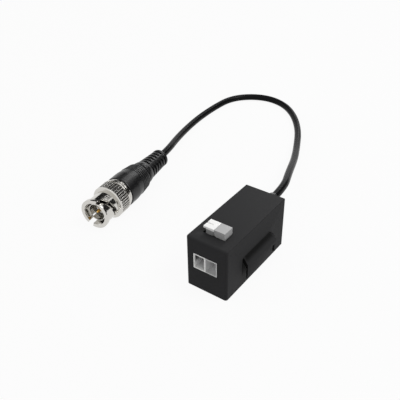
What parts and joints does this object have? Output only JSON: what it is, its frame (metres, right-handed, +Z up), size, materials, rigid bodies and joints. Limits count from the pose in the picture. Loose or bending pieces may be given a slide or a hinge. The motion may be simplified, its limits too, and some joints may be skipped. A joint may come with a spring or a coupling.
{
  "type": "cctv video balun",
  "caption": "Passive video balun: matte box with a push-in wire terminal, joining rail and a short lead to a bayonet video plug.",
  "frame": {"origin": "middle of the box's flat underside, on the surface that the box, the lead and the plug lie on", "axes": "+Z up, -Y out of the wire entries, +Y out of the lead outlet, +X out of the side with the joining rail"},
  "size_m": [0.0917, 0.1476, 0.0242],
  "materials": {
    "black_abs": "fine matte moulded",
    "fr4_board": "satin green solder mask",
    "white_nylon": "satin moulded",
    "grey_nylon": "satin moulded",
    "black_nylon": "satin moulded",
    "tinned_copper": "tinned",
    "spring_steel": "bright",
    "ferrite": "sintered",
    "enamelled_copper": "enamelled",
    "ceramic_white": "glazed",
    "ceramic_blue": "dipped",
    "chip_black": "matte",
    "black_pvc": "satin moulded",
    "black_pvc_lead": "semi-gloss extruded",
    "nickel_plate": "bright nickel",
    "gold_plate": "gold flash",
    "ptfe_white": "matte",
    "silicone_grey": "matte"
  },
  "bodies": {
    "balun": {"housing_shell": "black_abs", "bottom_cover": "black_abs", "circuit_board": "fr4_board", "left_terminal": "white_nylon", "right_terminal": "grey_nylon", "left_contact": "tinned_copper", "right_contact": "tinned_copper", "left_clamp_spring": "spring_steel", "right_clamp_spring": "spring_steel", "transformer_foot": "black_nylon", "ferrite_ring": "ferrite", "transformer_winding": "enamelled_copper", "surge_arrester": "ceramic_white", "disc_capacitors": "ceramic_blue", "chip_resistors": "chip_black", "outlet_grommet": "black_pvc", "plug_body": "nickel_plate", "outer_contact": "nickel_plate", "plug_insulator": "ptfe_white", "centre_pin": "gold_plate", "face_seal": "silicone_grey", "spring_washer": "spring_steel", "retaining_ring": "spring_steel", "crimp_sleeve": "nickel_plate", "plug_boot": "black_pvc", "lead": "black_pvc_lead", "core_wire": "enamelled_copper", "screen_wire": "tinned_copper"},
    "left_lever": {"left_lever": "white_nylon"},
    "right_lever": {"right_lever": "grey_nylon"},
    "nut_washer": {"thrust_washer": "nickel_plate"},
    "coupling_nut": {"coupling_nut": "nickel_plate"}
  },
  "joints": [
    {"name": "left_lever_press", "type": "slide", "parent": "balun", "child": "left_lever", "axis": [0, 0, -1], "range_m": [0, 0.0014], "stiffness_N_per_m": 2500, "springref_m": -0.0006},
    {"name": "right_lever_press", "type": "slide", "parent": "balun", "child": "right_lever", "axis": [0, 0, -1], "range_m": [0, 0.0014], "stiffness_N_per_m": 2500, "springref_m": -0.0006},
    {"name": "nut_slide", "type": "slide", "parent": "balun", "child": "nut_washer", "axis": [0.1219, -0.9925, 0], "range_m": [0, 0.0008], "stiffness_N_per_m": 3000, "springref_m": -0.0006},
    {"name": "nut_spin", "type": "hinge", "parent": "nut_washer", "child": "coupling_nut", "pos_m": [-0.05946, -0.00309, 0.00727], "axis": [-0.1219, 0.9925, 0], "continuous": true}
  ]
}
